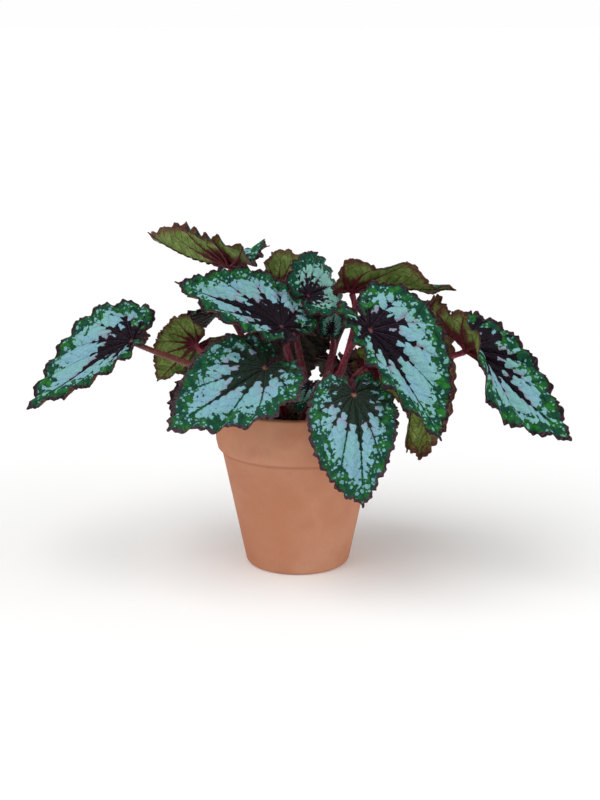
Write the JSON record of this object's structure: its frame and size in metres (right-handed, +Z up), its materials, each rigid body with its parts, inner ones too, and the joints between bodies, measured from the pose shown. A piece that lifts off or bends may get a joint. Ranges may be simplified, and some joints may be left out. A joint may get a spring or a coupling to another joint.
{
  "type": "potted rex begonia",
  "caption": "Rex begonia in a terracotta pot: pointed, toothed leaves banded in silver and green on red hairy stalks, some showing red-veined undersides.",
  "frame": {"origin": "centre of the pot's foot, on the surface that it stands on", "axes": "+Z up; -Y towards the front, from which the picture looks; +X along the two longest leaves, to the right in the picture"},
  "size_m": [0.4805, 0.2503, 0.3045],
  "materials": {
    "terracotta": "matte fired clay, faintly mottled",
    "potting_soil": "dark, damp, crumbly potting mix",
    "rhizome_bark": "rough brown, ringed",
    "petiole": "dark red, satin, with fine pale hairs",
    "leaf": "silver band, green spotted border, near-black centre and edge; olive underside with red veins; satin, puckered"
  },
  "bodies": {
    "root": {"blade_back_left": "leaf", "blade_back_low_left": "leaf", "blade_back_low_right": "leaf", "blade_back_middle": "leaf", "blade_back_right": "leaf", "blade_back_upright": "leaf", "blade_crown_back": "leaf", "blade_crown_young": "leaf", "blade_front_low": "leaf", "blade_front_young": "leaf", "blade_left_far": "leaf", "blade_left_low": "leaf", "blade_left_small": "leaf", "blade_left_top": "leaf", "blade_left_upper": "leaf", "blade_right_far": "leaf", "blade_right_front": "leaf", "blade_right_hanging": "leaf", "blade_right_low": "leaf", "blade_right_top": "leaf", "petiole_back_left": "petiole", "petiole_back_low_left": "petiole", "petiole_back_low_right": "petiole", "petiole_back_middle": "petiole", "petiole_back_right": "petiole", "petiole_back_upright": "petiole", "petiole_crown_back": "petiole", "petiole_crown_young": "petiole", "petiole_front_low": "petiole", "petiole_front_young": "petiole", "petiole_left_far": "petiole", "petiole_left_low": "petiole", "petiole_left_small": "petiole", "petiole_left_top": "petiole", "petiole_left_upper": "petiole", "petiole_right_far": "petiole", "petiole_right_front": "petiole", "petiole_right_hanging": "petiole", "petiole_right_low": "petiole", "petiole_right_top": "petiole", "pot": "terracotta", "rhizome": "rhizome_bark", "soil": "potting_soil"}
  },
  "joints": []
}
